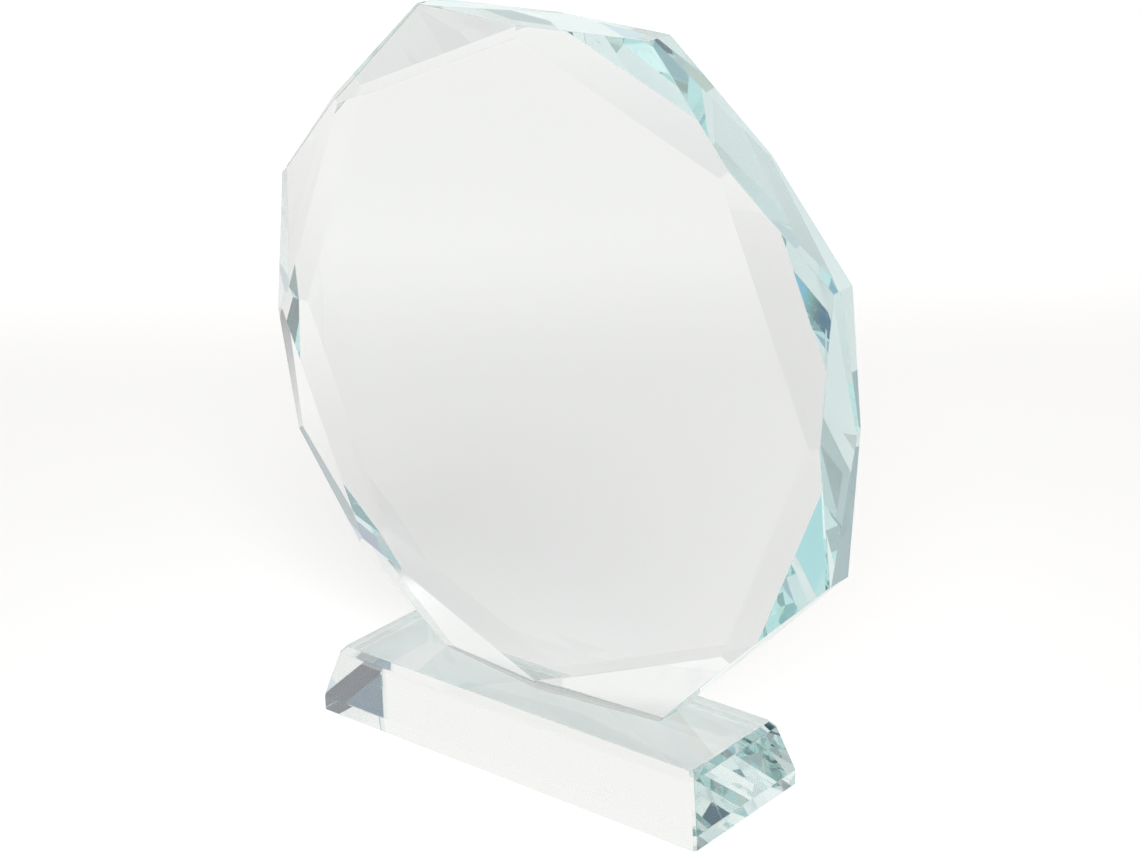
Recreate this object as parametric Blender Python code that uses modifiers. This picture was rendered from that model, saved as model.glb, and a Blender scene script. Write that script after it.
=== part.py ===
"""Octagonal crystal award: a faceted plaque bonded on edge to a bevelled crystal base.

Metres, +Z up. The origin is the centre of the base's underside. X runs along the base, and
the plaque's front face looks towards -Y. Both crystal pieces are cut from the same thick plate.
"""

import math

import bmesh
import bpy
from mathutils import Matrix, Vector

# Plate stock and joint
PLATE = 0.019  # thickness of the plate that both pieces are cut from
TOUCH_GAP = 0.0003  # clearance left between pieces that touch
FILM = 0.0002  # cured adhesive between plaque and base
FILM_MARGIN = 0.0004  # the adhesive stops this far inside the plaque's foot

# Plaque: an octagon standing on one of its sides, with a ground facet at each corner, front and back
SIDES = 8
ACROSS_FLATS = 0.180
FACET_REACH = 0.0806  # plaque centre to the line where a facet meets the flat face
FRONT_FACET_DEPTH = 0.0058  # how far a facet falls back from its face at the octagon's corner
BACK_FACET_DEPTH = 0.0053
PLAQUE_SETBACK = 0.003  # the plaque stands this far behind the base's centre line
PLAQUE_ARRIS = 0.0001  # fine bevel on the rim's edges
RIM_EDGE_ANGLE = math.radians(60)  # rim edges turn more than this, facet edges on the face far less

# Base: a bar whose four sides lean out from a narrow top bevel to an upright band at the foot
BASE_LENGTH = 0.130
BASE_DEPTH = 0.0446
BAND_HEIGHT = 0.0042
TOP_LENGTH = 0.120
TOP_DEPTH = 0.0344
TOP_BEVEL_DROP = 0.0018
TOP_BEVEL_OUTSET = 0.0015
BASE_CORNER = 0.0008  # flat ground along each upright corner
BASE_ARRIS = 0.0001
BASE_EDGE_ANGLE = math.radians(10)

# Places that follow from those
BASE_HEIGHT = PLATE
FILM_BOTTOM = BASE_HEIGHT + TOUCH_GAP
PLAQUE_BOTTOM = FILM_BOTTOM + FILM + TOUCH_GAP
PLAQUE_CENTRE = Vector((0.0, PLAQUE_SETBACK, PLAQUE_BOTTOM + ACROSS_FLATS / 2))
HALF_SIDE_ANGLE = math.pi / SIDES
CORNER_RADIUS = ACROSS_FLATS / 2 / math.cos(HALF_SIDE_ANGLE)
SIDE_LENGTH = 2 * CORNER_RADIUS * math.sin(HALF_SIDE_ANGLE)

CRYSTAL_TINT = (0.86, 0.93, 0.92, 1.0)
ADHESIVE_TINT = (0.93, 0.96, 0.95, 1.0)


def clear_scene():
    for obj in list(bpy.data.objects):
        bpy.data.objects.remove(obj, do_unlink=True)


def make_collection(name):
    collection = bpy.data.collections.new(name)
    bpy.context.scene.collection.children.link(collection)
    return collection


def make_material(name, colour, roughness, transmission):
    material = bpy.data.materials.new(name)
    material.use_nodes = True
    shader = material.node_tree.nodes["Principled BSDF"]
    shader.inputs["Base Color"].default_value = colour
    shader.inputs["Roughness"].default_value = roughness
    shader.inputs["Metallic"].default_value = 0.0
    shader.inputs["Transmission Weight"].default_value = transmission
    shader.inputs["IOR"].default_value = 1.52
    material.diffuse_color = colour
    return material


def make_object(name, shape, collection, material):
    """Turns a finished bmesh into a named object that carries one material."""
    mesh = bpy.data.meshes.new(name)
    bmesh.ops.recalc_face_normals(shape, faces=shape.faces)
    shape.to_mesh(mesh)
    shape.free()
    mesh.materials.append(material)
    obj = bpy.data.objects.new(name, mesh)
    collection.objects.link(obj)
    return obj


def add_arris(obj, width, angle):
    """Breaks the edges that turn by more than the angle with a fine flat bevel."""
    bevel = obj.modifiers.new("arris", "BEVEL")
    bevel.width = width
    bevel.segments = 1
    bevel.limit_method = "ANGLE"
    bevel.angle_limit = angle
    bevel.use_clamp_overlap = True


def grind_flat(shape, point, normal):
    """Removes all that stands proud of a plane and closes the cut with one flat face."""
    cut = bmesh.ops.bisect_plane(
        shape,
        geom=shape.verts[:] + shape.edges[:] + shape.faces[:],
        plane_co=point,
        plane_no=normal,
        clear_outer=True,
    )
    rim = [item for item in cut["geom_cut"] if isinstance(item, bmesh.types.BMEdge)]
    bmesh.ops.edgeloop_fill(shape, edges=rim)


def build_plaque(collection, material):
    shape = bmesh.new()
    bmesh.ops.create_cone(
        shape,
        cap_ends=True,
        segments=SIDES,
        radius1=CORNER_RADIUS,
        radius2=CORNER_RADIUS,
        depth=PLATE,
    )
    # Level one side: the cone's corners start on an axis, so half a side's angle does it.
    level = Matrix.Rotation(HALF_SIDE_ANGLE, 3, "Z")
    on_edge = Matrix.Rotation(math.radians(90), 3, "X")
    bmesh.ops.rotate(shape, verts=shape.verts, matrix=on_edge @ level)

    # Each facet leans back from the face, towards its corner.
    for number in range(SIDES):
        bearing = (2 * number + 1) * HALF_SIDE_ANGLE
        outward = Vector((math.cos(bearing), 0.0, math.sin(bearing)))
        for face_sign, facet_depth in ((-1, FRONT_FACET_DEPTH), (1, BACK_FACET_DEPTH)):
            facet_tilt = math.atan2(facet_depth, CORNER_RADIUS - FACET_REACH)
            face_normal = Vector((0.0, face_sign, 0.0))
            inner_edge = outward * FACET_REACH + face_normal * PLATE / 2
            facet_normal = outward * math.sin(facet_tilt) + face_normal * math.cos(facet_tilt)
            grind_flat(shape, inner_edge, facet_normal)

    plaque = make_object("crystal_plaque", shape, collection, material)
    plaque.location = PLAQUE_CENTRE
    add_arris(plaque, PLAQUE_ARRIS, RIM_EDGE_ANGLE)
    return plaque


def base_outline(half_length, half_depth):
    """Eight points round a rectangle whose corners are each ground to a small flat."""
    flat_x = half_length - BASE_CORNER
    flat_y = half_depth - BASE_CORNER
    return (
        (half_length, -flat_y),
        (half_length, flat_y),
        (flat_x, half_depth),
        (-flat_x, half_depth),
        (-half_length, flat_y),
        (-half_length, -flat_y),
        (-flat_x, -half_depth),
        (flat_x, -half_depth),
    )


def build_base(collection, material):
    # Height, half length and half depth where the bar's outline changes, foot to top.
    levels = (
        (0.0, BASE_LENGTH / 2, BASE_DEPTH / 2),
        (BAND_HEIGHT, BASE_LENGTH / 2, BASE_DEPTH / 2),
        (
            BASE_HEIGHT - TOP_BEVEL_DROP,
            TOP_LENGTH / 2 + TOP_BEVEL_OUTSET,
            TOP_DEPTH / 2 + TOP_BEVEL_OUTSET,
        ),
        (BASE_HEIGHT, TOP_LENGTH / 2, TOP_DEPTH / 2),
    )
    shape = bmesh.new()
    rings = [
        [shape.verts.new((x, y, height)) for x, y in base_outline(half_length, half_depth)]
        for height, half_length, half_depth in levels
    ]
    for lower, upper in zip(rings, rings[1:]):
        for here in range(len(lower)):
            after = (here + 1) % len(lower)
            shape.faces.new((lower[here], lower[after], upper[after], upper[here]))
    shape.faces.new(rings[0][::-1])
    shape.faces.new(rings[-1])

    base = make_object("crystal_base", shape, collection, material)
    add_arris(base, BASE_ARRIS, BASE_EDGE_ANGLE)
    return base


def film_reach(facet_depth, distance):
    """How far the film reaches from the plaque's middle plane, at this distance from its centre."""
    facet_fall = facet_depth * (distance - FACET_REACH) / (CORNER_RADIUS - FACET_REACH)
    return PLATE / 2 - facet_fall - FILM_MARGIN


def build_adhesive(collection, material):
    """The clear film under the plaque's foot, whose outline it follows a little inside."""
    shape = bmesh.new()
    bmesh.ops.create_cube(shape, size=1.0)
    bmesh.ops.scale(shape, verts=shape.verts, vec=(SIDE_LENGTH - 2 * FILM_MARGIN, 1.0, FILM))
    middle = bmesh.ops.bisect_plane(
        shape,
        geom=shape.verts[:] + shape.edges[:] + shape.faces[:],
        plane_co=(0.0, 0.0, 0.0),
        plane_no=(1.0, 0.0, 0.0),
    )
    # The foot is deepest at mid-length, where its two facets meet in a ridge.
    middle_verts = [item for item in middle["geom_cut"] if isinstance(item, bmesh.types.BMVert)]
    mid_side_distance = CORNER_RADIUS * math.cos(HALF_SIDE_ANGLE) ** 2
    for vert in shape.verts:
        facet_depth = FRONT_FACET_DEPTH if vert.co.y < 0 else BACK_FACET_DEPTH
        distance = mid_side_distance if vert in middle_verts else CORNER_RADIUS
        vert.co.y = math.copysign(film_reach(facet_depth, distance), vert.co.y)
    film = make_object("adhesive_film", shape, collection, material)
    film.location = (0.0, PLAQUE_SETBACK, FILM_BOTTOM + FILM / 2)
    return film


def main():
    clear_scene()
    collection = make_collection("crystal_award")
    crystal = make_material("clear_crystal", CRYSTAL_TINT, 0.02, 1.0)
    adhesive = make_material("clear_adhesive", ADHESIVE_TINT, 0.08, 1.0)
    build_base(collection, crystal)
    build_adhesive(collection, adhesive)
    build_plaque(collection, crystal)


main()
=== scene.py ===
"""Looks for the octagonal crystal award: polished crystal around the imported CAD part, on a pale table.

Metres, in the part's own frame: +Z up, the plaque's front face looks towards -Y. A direction is an azimuth
and an elevation in degrees: azimuth 0 is +Y, behind the plaque, and 90 is +X.
"""

import math

import bmesh
import bpy
from mathutils import Matrix, Vector


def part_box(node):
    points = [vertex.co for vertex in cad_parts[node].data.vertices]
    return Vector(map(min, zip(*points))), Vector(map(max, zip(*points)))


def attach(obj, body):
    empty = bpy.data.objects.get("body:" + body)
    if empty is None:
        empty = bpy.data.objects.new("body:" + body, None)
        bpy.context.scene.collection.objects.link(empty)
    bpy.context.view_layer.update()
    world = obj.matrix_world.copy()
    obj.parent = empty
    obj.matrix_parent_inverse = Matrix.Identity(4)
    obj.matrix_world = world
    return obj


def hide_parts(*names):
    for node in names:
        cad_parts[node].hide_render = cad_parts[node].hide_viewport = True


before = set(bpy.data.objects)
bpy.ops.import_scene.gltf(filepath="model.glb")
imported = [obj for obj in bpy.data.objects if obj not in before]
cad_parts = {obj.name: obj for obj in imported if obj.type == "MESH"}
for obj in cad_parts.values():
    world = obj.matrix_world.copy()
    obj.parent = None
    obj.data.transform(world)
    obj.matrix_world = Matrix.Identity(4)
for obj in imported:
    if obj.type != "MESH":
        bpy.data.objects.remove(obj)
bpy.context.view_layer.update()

MM = 0.001

# Camera, placed from the plaque's centre
CAMERA_AZIMUTH = 140.06
CAMERA_ELEVATION = 21.43
CAMERA_ROLL = math.radians(-1.50)
CAMERA_DISTANCE = 681.2 * MM
CAMERA_RIGHT = 5.4 * MM
CAMERA_RISE = -16.3 * MM
CAMERA_LENS = 83.6  # mm, as the sensor's width is too
CAMERA_SENSOR = 36.0
NEAREST_SEEN = 10 * MM

# Glass
CRYSTAL_IOR = 1.52
ADHESIVE_IOR = 1.50
NO_BEND_IOR = 1.0  # where two pieces are bonded, light goes straight on
CRYSTAL_CLARITY = (0.871, 0.871, 0.866)
DUSTY_CLARITY = (0.83, 0.83, 0.82)
CRYSTAL_ABSORPTION = (0.50, 0.85, 0.855, 1.0)  # red is absorbed most, which leaves a pale blue-green
ABSORPTION_DENSITY = 2.4  # per metre

# Surface of the crystal. A mark's edges are the values of its noise, from 0 to 1, where it is whole and gone.
WAVE_SIZE = 30 * MM  # slow waves that the polishing wheel leaves
WAVE_HEIGHT = 0.012 * MM
ARRIS_WIDEST = 0.6 * MM  # a face narrower than this is an arris, which is ground and not polished
GROUND_GRAIN = 1.5 * MM
GROUND_ROUGHNESS = (0.10, 0.30)
SCRATCH_SPACING = 20 * MM
SCRATCH_STRETCH = (1.0, 1.0, 0.25)
SCRATCH_TURN = (0.0, math.radians(50), 0.0)
NOISE_MIDDLE = 0.5
SCRATCH_EDGES = (0.0008, 0.0022)  # from the middle
SCRATCHED_PATCH = 25 * MM
SCRATCHED_PATCH_EDGES = (0.68, 0.60)
DUST_SIZE = 1.1 * MM
DUST_EDGES = (0.86, 0.84)
MARK_ROUGHNESS = 0.22  # of scratches and dust
HAZE_SIZE = 50 * MM
HAZE_DETAIL = 1.0
HAZE_MOST = 0.25

BOND = 0.12 * MM  # height of the joint between the base and the plaque's foot
BOND_CLEARANCE = 0.01 * MM  # keeps the film's faces off its neighbours'

# Joining a CAD node's triangles back into flat faces
WELD = 0.001 * MM
FLAT_ANGLE = math.radians(0.2)

# Surroundings: a warm white light tent, with brighter soft boxes and darker cards in it. Each one is upright
# and soft-edged: azimuth, elevation, width, height and softness in degrees, and its colour.
TENT_WHITE = (0.93, 0.91, 0.895)
TENT_STRENGTH = 1.08
CARDS = (
    (-55, 30, 56, 66, 9, (1.02, 0.985, 0.965)),  # soft box behind, to the left
    (-28.4, 15.3, 6, 6, 1.5, (0.55, 0.80, 0.81)),
    (139, 27, 40, 28, 3, (1.20, 1.17, 1.15)),  # soft box beside the camera
    (135.5, 21, 14, 8, 1.2, (0.54, 0.63, 0.66)),
    (-178, 55, 52, 34, 3, (0.55, 0.58, 0.59)),
    (148, 46, 26, 12, 3, (0.42, 0.56, 0.66)),
    (-146, 19, 24, 18, 3, (0.60, 0.64, 0.64)),
    (-90, 6, 24, 30, 3, (0.46, 0.52, 0.54)),
    (-112, 50, 16, 16, 2, (0.06, 0.12, 0.17)),
    (75, 32, 32, 40, 3, (0.57, 0.58, 0.58)),
    (25, 27, 14, 16, 3, (0.64, 0.64, 0.64)),
    (48, 43, 28, 14, 2, (0.49, 0.51, 0.52)),
    (35, 26, 9, 18, 2, (0.44, 0.49, 0.51)),
    (43, -7, 34, 13, 2.5, (0.45, 0.45, 0.45)),
    (43, 5, 34, 12, 2, (0.47, 0.55, 0.60)),
    (48, 22, 18, 24, 2, (0.24, 0.24, 0.26)),
    (47, 33, 17, 9, 1.5, (0.19, 0.26, 0.35)),
    (43, 33.2, 7, 3.5, 0.25, (0.42, 0.64, 0.82)),
    (73, 5.5, 38, 15, 2, (0.25, 0.31, 0.37)),
)
# Dispersion sets the red, green and blue edges of a card this far apart, as a share of its softness.
FRINGE = -0.4
NEARLY_SIDEWAYS = 0.001  # keeps the sum that places a card from dividing by zero

# Key light, above the camera. The crystal neither shows nor mirrors it: it lights the table, where the award
# casts a soft shadow.
KEY_AZIMUTH = 140
KEY_ELEVATION = 42
KEY_DISTANCE = 2.5
KEY_SIZE = 1.4
KEY_POWER = 23.8
KEY_COLOUR = (0.985, 0.985, 0.96)

TABLE_SIZE = 6.0
TABLE_GAP = 0.2 * MM
# The table's paint carries painted light and shade: lighter far off behind the award to the left, darker out
# in front and beyond the far right.
TABLE_WHITE = 0.84
TABLE_PAINTED_LIGHT = 0.97  # painted light: the paint is lighter far off behind the award, to the left
PAINTED_LIGHT_AZIMUTH = -40
PAINTED_LIGHT_START = 0.28  # how far out that way the painted light on the table starts
PAINTED_LIGHT_END = 0.48
TABLE_PAINTED_SHADE = 0.36  # painted shade, out of the light: beyond the award's far right, and in front
# The azimuth of each side with painted shade, and how far out the table's paint starts and ends darkening
# towards it
PAINTED_SHADE_SIDES = (
    (50, 0.20, 0.75),
    (175, 0.16, 0.55),
)

# Patches of painted light that glow on the table, though it is no lamp: the middle, how far they reach and
# how bright they are
GLOWS = (
    ((-0.75, 1.25, 0.0), 0.9, 0.30),  # a painted pool of light, as under a lamp behind the award
    ((0.0, 0.0, 0.0), 0.15, 0.265),  # painted light for what the base gathers under itself, as a lens does
)

# Light that is still in the glass after this many reflections is let out, as at a scratch or an edge.
MOST_REFLECTIONS = 18
LAST_STEP = 1.0 * MM
MOST_BOUNCES = 40


def new_material(name):
    material = bpy.data.materials.new(name)
    material.use_nodes = True
    material.node_tree.nodes.clear()
    return material


def add_node(tree, kind, **values):
    """Adds a shader node. A name that is an input's, with _ for a space, sets it, any other a property."""
    node = tree.nodes.new(kind)
    for name, value in values.items():
        label = name.replace("_", " ")
        if label in node.inputs:
            node.inputs[label].default_value = value
        else:
            setattr(node, name, value)
    return node


def calculate(tree, operation, *values):
    """A Math node on up to three values, each one a number or another node's output."""
    node = add_node(tree, "ShaderNodeMath", operation=operation)
    for place, value in enumerate(values):
        if isinstance(value, bpy.types.NodeSocket):
            tree.links.new(value, node.inputs[place])
        else:
            node.inputs[place].default_value = value
    return node.outputs[0]


def mix_colour(tree, factor, first, second):
    """Blends two colours, each one an (r, g, b) or another node's output."""
    blend = add_node(tree, "ShaderNodeMix", data_type="RGBA")
    tree.links.new(factor, blend.inputs["Factor"])
    # A Mix node has its sockets once for each kind of data.
    places = [socket for socket in blend.inputs if socket.type == "RGBA"]
    for place, value in zip(places, (first, second)):
        if isinstance(value, bpy.types.NodeSocket):
            tree.links.new(value, place)
        else:
            place.default_value = (*value, 1.0)
    return next(socket for socket in blend.outputs if socket.type == "RGBA")


def soft_step(tree, value, inner, outer):
    """1 where the value is at inner, 0 where it is at outer, with a smooth turn between them."""
    step = add_node(
        tree, "ShaderNodeMapRange", interpolation_type="SMOOTHSTEP", From_Min=outer, From_Max=inner
    )
    tree.links.new(value, step.inputs["Value"])
    return step.outputs["Result"]


def noise(tree, place, size, detail=0.0):
    """Noise whose features measure about size metres on the piece."""
    texture = add_node(tree, "ShaderNodeTexNoise", Scale=1.0 / size, Detail=detail)
    tree.links.new(place, texture.inputs["Vector"])
    return texture.outputs[0]


def hairlines(tree, place):
    """1 along a few hair-thin, slightly curved scratches, 0 elsewhere.

    They are the middle contour of a stretched noise, in patches that another noise leaves of it.
    """
    stretched = add_node(tree, "ShaderNodeMapping", Rotation=SCRATCH_TURN, Scale=SCRATCH_STRETCH)
    tree.links.new(place, stretched.inputs["Vector"])
    grain = noise(tree, stretched.outputs["Vector"], SCRATCH_SPACING)
    from_middle = calculate(tree, "ABSOLUTE", calculate(tree, "SUBTRACT", grain, NOISE_MIDDLE))
    line = soft_step(tree, from_middle, *SCRATCH_EDGES)
    patch = soft_step(tree, noise(tree, place, SCRATCHED_PATCH), *SCRATCHED_PATCH_EDGES)
    return calculate(tree, "MULTIPLY", line, patch)


def specks(tree, place):
    """1 on tiny scattered specks of dust, 0 elsewhere: the highest peaks of a fine noise."""
    return soft_step(tree, noise(tree, place, DUST_SIZE), *DUST_EDGES)


def surface_detail(tree, glass):
    """Wires the polish of the crystal into its shader: waves, hairlines, dust and ground edges."""
    link = tree.links.new
    place = add_node(tree, "ShaderNodeTexCoord").outputs["Object"]
    ground = add_node(tree, "ShaderNodeAttribute", attribute_name="ground").outputs["Fac"]
    bump = add_node(tree, "ShaderNodeBump", Distance=WAVE_HEIGHT)
    link(noise(tree, place, WAVE_SIZE), bump.inputs["Height"])
    link(bump.outputs["Normal"], glass.inputs["Normal"])

    scratches = hairlines(tree, place)
    dust = specks(tree, place)
    smoothest, roughest = GROUND_ROUGHNESS
    finish = add_node(tree, "ShaderNodeMapRange", To_Min=smoothest, To_Max=roughest)
    link(noise(tree, place, GROUND_GRAIN), finish.inputs["Value"])
    worn = calculate(tree, "MULTIPLY", ground, finish.outputs["Result"])
    marked = calculate(tree, "MULTIPLY", calculate(tree, "MAXIMUM", scratches, dust), MARK_ROUGHNESS)
    link(calculate(tree, "MAXIMUM", worn, marked), glass.inputs["Roughness"])

    haze = calculate(tree, "MULTIPLY", noise(tree, place, HAZE_SIZE, HAZE_DETAIL), HAZE_MOST)
    shade = calculate(tree, "MAXIMUM", haze, dust)
    link(mix_colour(tree, shade, CRYSTAL_CLARITY, DUSTY_CLARITY), glass.inputs["Base Color"])


def crystal_material(name, ior, absorption=None):
    """Polished clear glass, which light enters without bending where it is bonded to its neighbour."""
    material = new_material(name)
    tree = material.node_tree
    link = tree.links.new
    output = add_node(tree, "ShaderNodeOutputMaterial")
    glass = add_node(tree, "ShaderNodeBsdfPrincipled", Transmission_Weight=1.0)
    bonded = add_node(tree, "ShaderNodeAttribute", attribute_name="bonded").outputs["Fac"]
    link(calculate(tree, "MULTIPLY_ADD", bonded, NO_BEND_IOR - ior, ior), glass.inputs["IOR"])
    surface_detail(tree, glass)
    link(glass.outputs["BSDF"], output.inputs["Surface"])
    if absorption:
        volume = add_node(tree, "ShaderNodeVolumeAbsorption", Color=absorption, Density=ABSORPTION_DENSITY)
        link(volume.outputs["Volume"], output.inputs["Volume"])
    return material


def new_shape():
    """An empty bmesh whose faces can say that they are bonded or ground, for the material to read."""
    shape = bmesh.new()
    shape.faces.layers.float.new("bonded")
    shape.faces.layers.float.new("ground")
    return shape


def mark(shape, finish, faces):
    layer = shape.faces.layers.float[finish]
    for face in faces:
        face[layer] = 1.0


def is_arris(face):
    longest = max(edge.calc_length() for edge in face.edges)
    return face.calc_area() / longest < ARRIS_WIDEST


def clean_copy(node):
    """A bmesh of a CAD node with its triangles joined back into whole flat faces."""
    shape = new_shape()
    shape.from_mesh(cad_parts[node].data)
    bmesh.ops.remove_doubles(shape, verts=shape.verts, dist=WELD)
    bmesh.ops.dissolve_limit(shape, angle_limit=FLAT_ANGLE, verts=shape.verts, edges=shape.edges)
    mark(shape, "ground", [face for face in shape.faces if is_arris(face)])
    return shape


def lowest_face(shape):
    return min(shape.faces, key=lambda face: face.calc_center_median().z)


def highest_face(shape):
    return max(shape.faces, key=lambda face: face.calc_center_median().z)


def put_in_order(faces):
    """Sorts the faces by place, as an extrusion leaves them in another order each time the script runs."""
    ordered = sorted(faces, key=lambda face: face.calc_center_median().to_tuple(6))
    for index, face in enumerate(ordered):
        face.index = index
    faces.sort()


def make_piece(name, shape, node, material):
    """Turns a bmesh into a visible piece that stands in for a CAD node."""
    mesh = bpy.data.meshes.new(name)
    bmesh.ops.recalc_face_normals(shape, faces=shape.faces)
    put_in_order(shape.faces)
    shape.to_mesh(mesh)
    shape.free()
    mesh.materials.append(material)
    piece = bpy.data.objects.new(name, mesh)
    bpy.context.scene.collection.objects.link(piece)
    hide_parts(node)
    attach(piece, "root")


def build_plaque(material):
    """The plaque, let down on to the film. Returns the outline of its foot too."""
    shape = clean_copy("crystal_plaque")
    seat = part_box("crystal_base")[1].z + BOND
    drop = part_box("crystal_plaque")[0].z - seat
    bmesh.ops.translate(shape, verts=shape.verts, vec=(0.0, 0.0, -drop))
    foot = lowest_face(shape)
    outline = [corner.co.to_2d() for corner in foot.verts]
    mark(shape, "bonded", [foot])
    make_piece("plaque", shape, "crystal_plaque", material)
    return outline


def build_base(material, outline):
    """The base, with the plaque's foot outlined in its top face so that only that patch is bonded."""
    shape = clean_copy("crystal_base")
    top = highest_face(shape)
    height = top.calc_center_median().z
    rim = list(top.edges)
    bmesh.ops.delete(shape, geom=[top], context="FACES_ONLY")
    patch = shape.faces.new([shape.verts.new((x, y, height)) for x, y in outline])
    bmesh.ops.triangle_fill(shape, edges=rim + list(patch.edges), use_beauty=True)
    mark(shape, "bonded", [patch])
    make_piece("base", shape, "crystal_base", material)


def build_film(material, outline):
    """The cured film, which fills the joint from just above the base to just under the plaque."""
    shape = new_shape()
    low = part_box("crystal_base")[1].z + BOND_CLEARANCE
    under = shape.faces.new([shape.verts.new((x, y, low)) for x, y in outline])
    grown = bmesh.ops.extrude_face_region(shape, geom=[under])
    above = [item for item in grown["geom"] if isinstance(item, bmesh.types.BMVert)]
    bmesh.ops.translate(shape, verts=above, vec=(0.0, 0.0, BOND - 2 * BOND_CLEARANCE))
    mark(shape, "bonded", [lowest_face(shape), highest_face(shape)])
    make_piece("bond_film", shape, "adhesive_film", material)


def towards(azimuth, elevation):
    """The unit vector to a place in the surroundings."""
    turn, rise = math.radians(azimuth), math.radians(elevation)
    return Vector((math.sin(turn) * math.cos(rise), math.cos(turn) * math.cos(rise), math.sin(rise)))


def along(tree, direction, axis):
    """How far a direction or a place lies along an axis."""
    dot = add_node(tree, "ShaderNodeVectorMath", operation="DOT_PRODUCT")
    dot.inputs[1].default_value = axis
    tree.links.new(direction, dot.inputs[0])
    return dot.outputs["Value"]


def glow(tree, place, middle, reach, peak):
    """How bright a patch of painted light is. It fades as it would under a small lamp that hangs reach metres
    up.
    """
    apart = add_node(tree, "ShaderNodeVectorMath", operation="SUBTRACT")
    apart.inputs[1].default_value = middle
    tree.links.new(place, apart.inputs[0])
    square = add_node(tree, "ShaderNodeVectorMath", operation="DOT_PRODUCT")
    tree.links.new(apart.outputs["Vector"], square.inputs[0])
    tree.links.new(apart.outputs["Vector"], square.inputs[1])
    fall = calculate(tree, "MULTIPLY_ADD", square.outputs["Value"], 1 / reach**2, 1.0)
    return calculate(tree, "MULTIPLY", calculate(tree, "POWER", fall, -2.0), peak)


def painted_table_light_and_shade(tree, place):
    """The table's paint with painted light and shade: lightest far off behind the award at the left, and
    painted darker out in front and at the right.
    """
    lit = 1.0
    for azimuth, start, end in PAINTED_SHADE_SIDES:
        side = soft_step(tree, along(tree, place, towards(azimuth, 0)), start, end)
        lit = calculate(tree, "MULTIPLY", side, lit)
    far = soft_step(tree, along(tree, place, towards(PAINTED_LIGHT_AZIMUTH, 0)), PAINTED_LIGHT_END, PAINTED_LIGHT_START)
    white = mix_colour(tree, far, (TABLE_WHITE,) * 3, (TABLE_PAINTED_LIGHT,) * 3)
    return mix_colour(tree, lit, (TABLE_PAINTED_SHADE,) * 3, white)


def table_material():
    """Matt paint with painted light and shade, and patches of painted light that glow as emission though the
    table is no lamp.
    """
    material = new_material("table_with_painted_light")
    tree = material.node_tree
    output = add_node(tree, "ShaderNodeOutputMaterial")
    place = add_node(tree, "ShaderNodeTexCoord").outputs["Object"]
    paint = add_node(tree, "ShaderNodeBsdfDiffuse")
    # The paint's colour carries painted light and shade.
    tree.links.new(painted_table_light_and_shade(tree, place), paint.inputs["Color"])
    # The table glows with these patches of painted light.
    patches = 0.0
    for middle, reach, peak in GLOWS:
        patches = calculate(tree, "ADD", glow(tree, place, middle, reach, peak), patches)
    shine = add_node(tree, "ShaderNodeEmission")
    tree.links.new(patches, shine.inputs["Strength"])
    both = add_node(tree, "ShaderNodeAddShader")
    tree.links.new(paint.outputs[0], both.inputs[0])
    tree.links.new(shine.outputs[0], both.inputs[1])
    tree.links.new(both.outputs[0], output.inputs["Surface"])
    material.cycles.emission_sampling = "NONE"  # the patches are too faint to sample as lamps
    return material


def build_table():
    bpy.ops.mesh.primitive_plane_add(size=TABLE_SIZE, location=(0.0, 0.0, -TABLE_GAP))
    table = bpy.context.object
    table.name = "table"
    table.data.materials.append(table_material())


def fringed_cover(tree, offset, half, soft):
    """1 within half of the card's middle line, 0 outside, for red, green and blue each a little apart."""
    apart = add_node(tree, "ShaderNodeVectorMath", operation="ADD")
    shift = FRINGE * soft
    apart.inputs[1].default_value = (-shift, 0.0, shift)
    tree.links.new(offset, apart.inputs[0])
    distance = add_node(tree, "ShaderNodeVectorMath", operation="ABSOLUTE")
    tree.links.new(apart.outputs["Vector"], distance.inputs[0])
    step = add_node(tree, "ShaderNodeMapRange", data_type="FLOAT_VECTOR", interpolation_type="SMOOTHSTEP")
    limits = [socket for socket in step.inputs if socket.type == "VECTOR"]
    tree.links.new(distance.outputs["Vector"], limits[0])
    for socket, value in zip(limits[1:], (half + soft, half - soft, 0.0, 1.0)):
        socket.default_value = (value, value, value)
    return next(socket for socket in step.outputs if socket.type == "VECTOR")


def hang_card(tree, direction, colour, card):
    """Lays one upright card with soft, fringed edges over the surroundings. Returns their new colour."""
    azimuth, elevation, width, height, soft, shade = card
    out = towards(azimuth, elevation)
    right = towards(azimuth + 90, 0)
    up = right.cross(out)
    depth = along(tree, direction, out)
    ahead = calculate(tree, "MAXIMUM", depth, NEARLY_SIDEWAYS)
    cover = calculate(tree, "GREATER_THAN", depth, 0.0)
    for axis, extent in ((right, width), (up, height)):
        offset = calculate(tree, "DIVIDE", along(tree, direction, axis), ahead)
        side = fringed_cover(tree, offset, math.tan(math.radians(extent / 2)), math.tan(math.radians(soft)))
        both = add_node(tree, "ShaderNodeVectorMath", operation="MULTIPLY")
        tree.links.new(cover, both.inputs[0])
        tree.links.new(side, both.inputs[1])
        cover = both.outputs["Vector"]
    blend = add_node(tree, "ShaderNodeMix", data_type="VECTOR", factor_mode="NON_UNIFORM")
    factor, first, second = [socket for socket in blend.inputs if socket.type == "VECTOR"]
    tree.links.new(cover, factor)
    tree.links.new(colour, first)
    second.default_value = shade
    return next(socket for socket in blend.outputs if socket.type == "VECTOR")


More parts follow.
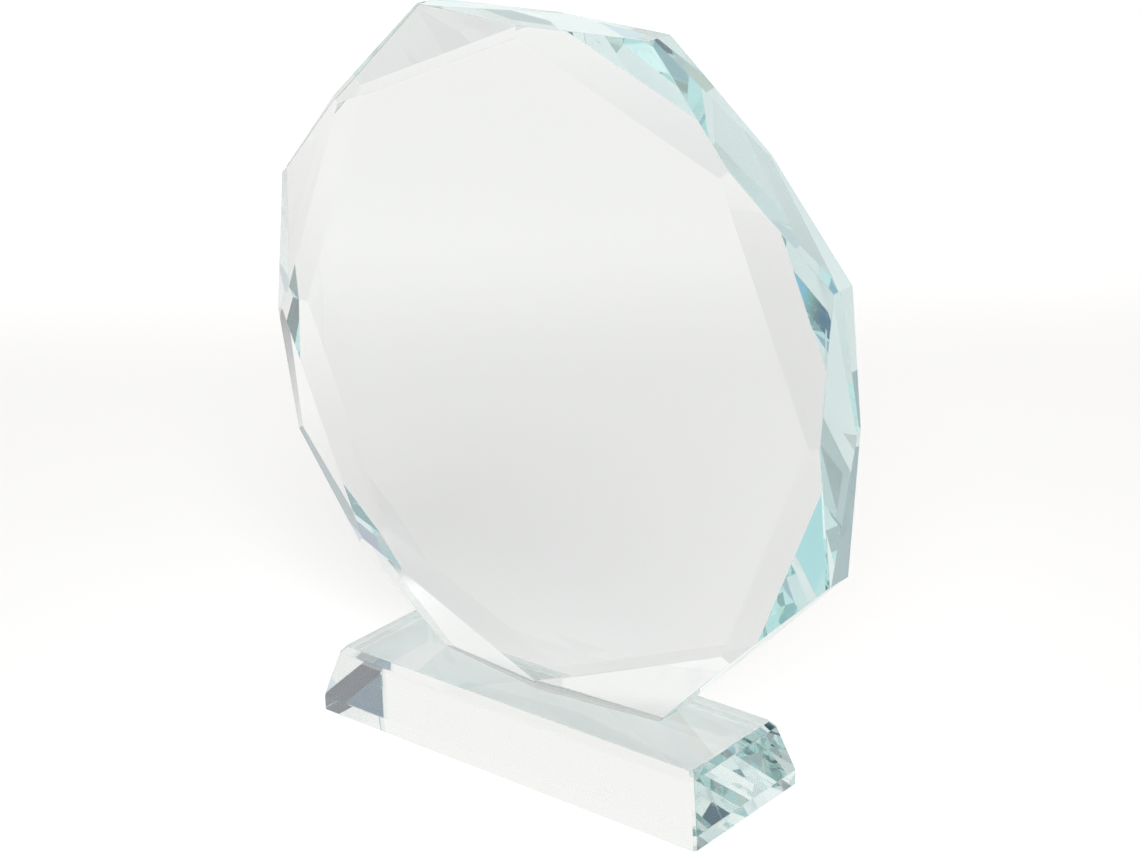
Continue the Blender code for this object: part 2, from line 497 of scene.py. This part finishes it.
def build_world():
    world = bpy.data.worlds.new("studio")
    bpy.context.scene.world = world
    world.use_nodes = True
    tree = world.node_tree
    direction = add_node(tree, "ShaderNodeTexCoord").outputs["Generated"]
    tent = add_node(tree, "ShaderNodeRGB")
    tent.outputs[0].default_value = (*TENT_WHITE, 1.0)
    colour = tent.outputs[0]
    for card in CARDS:
        colour = hang_card(tree, direction, colour, card)
    tree.links.new(colour, tree.nodes["Background"].inputs["Color"])
    tree.nodes["Background"].inputs["Strength"].default_value = TENT_STRENGTH


def build_key_light():
    light = bpy.data.lights.new("key", "AREA")
    light.shape = "DISK"
    light.size = KEY_SIZE
    light.energy = KEY_POWER
    light.color = KEY_COLOUR
    lamp = bpy.data.objects.new("key", light)
    bpy.context.scene.collection.objects.link(lamp)
    out = towards(KEY_AZIMUTH, KEY_ELEVATION)
    lamp.location = out * KEY_DISTANCE
    lamp.rotation_mode = "QUATERNION"
    lamp.rotation_quaternion = out.to_track_quat("Z", "Y")
    lamp.visible_camera = False
    lamp.visible_glossy = False
    lamp.visible_transmission = False


def build_camera():
    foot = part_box("crystal_base")[1].z
    low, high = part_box("crystal_plaque")
    centre = Vector(((low.x + high.x) / 2, (low.y + high.y) / 2, foot + (high.z - low.z) / 2))
    back = towards(CAMERA_AZIMUTH, CAMERA_ELEVATION)
    right = Matrix.Rotation(CAMERA_ROLL, 3, back) @ towards(CAMERA_AZIMUTH - 90, 0)
    up = back.cross(right)
    camera = bpy.data.objects.new("camera", bpy.data.cameras.new("camera"))
    camera.data.lens = CAMERA_LENS
    camera.data.sensor_width = CAMERA_SENSOR
    camera.data.clip_start = NEAREST_SEEN
    place = centre + back * CAMERA_DISTANCE + right * CAMERA_RIGHT + up * CAMERA_RISE
    camera.matrix_world = Matrix.Translation(place) @ Matrix((right, up, back)).transposed().to_4x4()
    bpy.context.scene.collection.objects.link(camera)
    bpy.context.scene.camera = camera


def set_light_paths():
    """Lets light reflect many times inside the glass, and then lets out what is still trapped there."""
    scene = bpy.context.scene
    scene.view_settings.view_transform = "Standard"
    scene.cycles.max_bounces = MOST_BOUNCES
    scene.cycles.transmission_bounces = MOST_BOUNCES
    scene.cycles.glossy_bounces = MOST_BOUNCES
    scene.cycles.blur_glossy = 0.0
    scene.cycles.use_fast_gi = True
    scene.cycles.fast_gi_method = "REPLACE"
    scene.cycles.ao_bounces_render = MOST_REFLECTIONS
    scene.cycles.ao_bounces = MOST_REFLECTIONS
    scene.world.light_settings.distance = LAST_STEP


crystal = crystal_material("crystal", CRYSTAL_IOR, CRYSTAL_ABSORPTION)
adhesive = crystal_material("adhesive", ADHESIVE_IOR)
foot_outline = build_plaque(crystal)
build_base(crystal, foot_outline)
build_film(adhesive, foot_outline)
build_table()
build_world()
build_key_light()
build_camera()
set_light_paths()
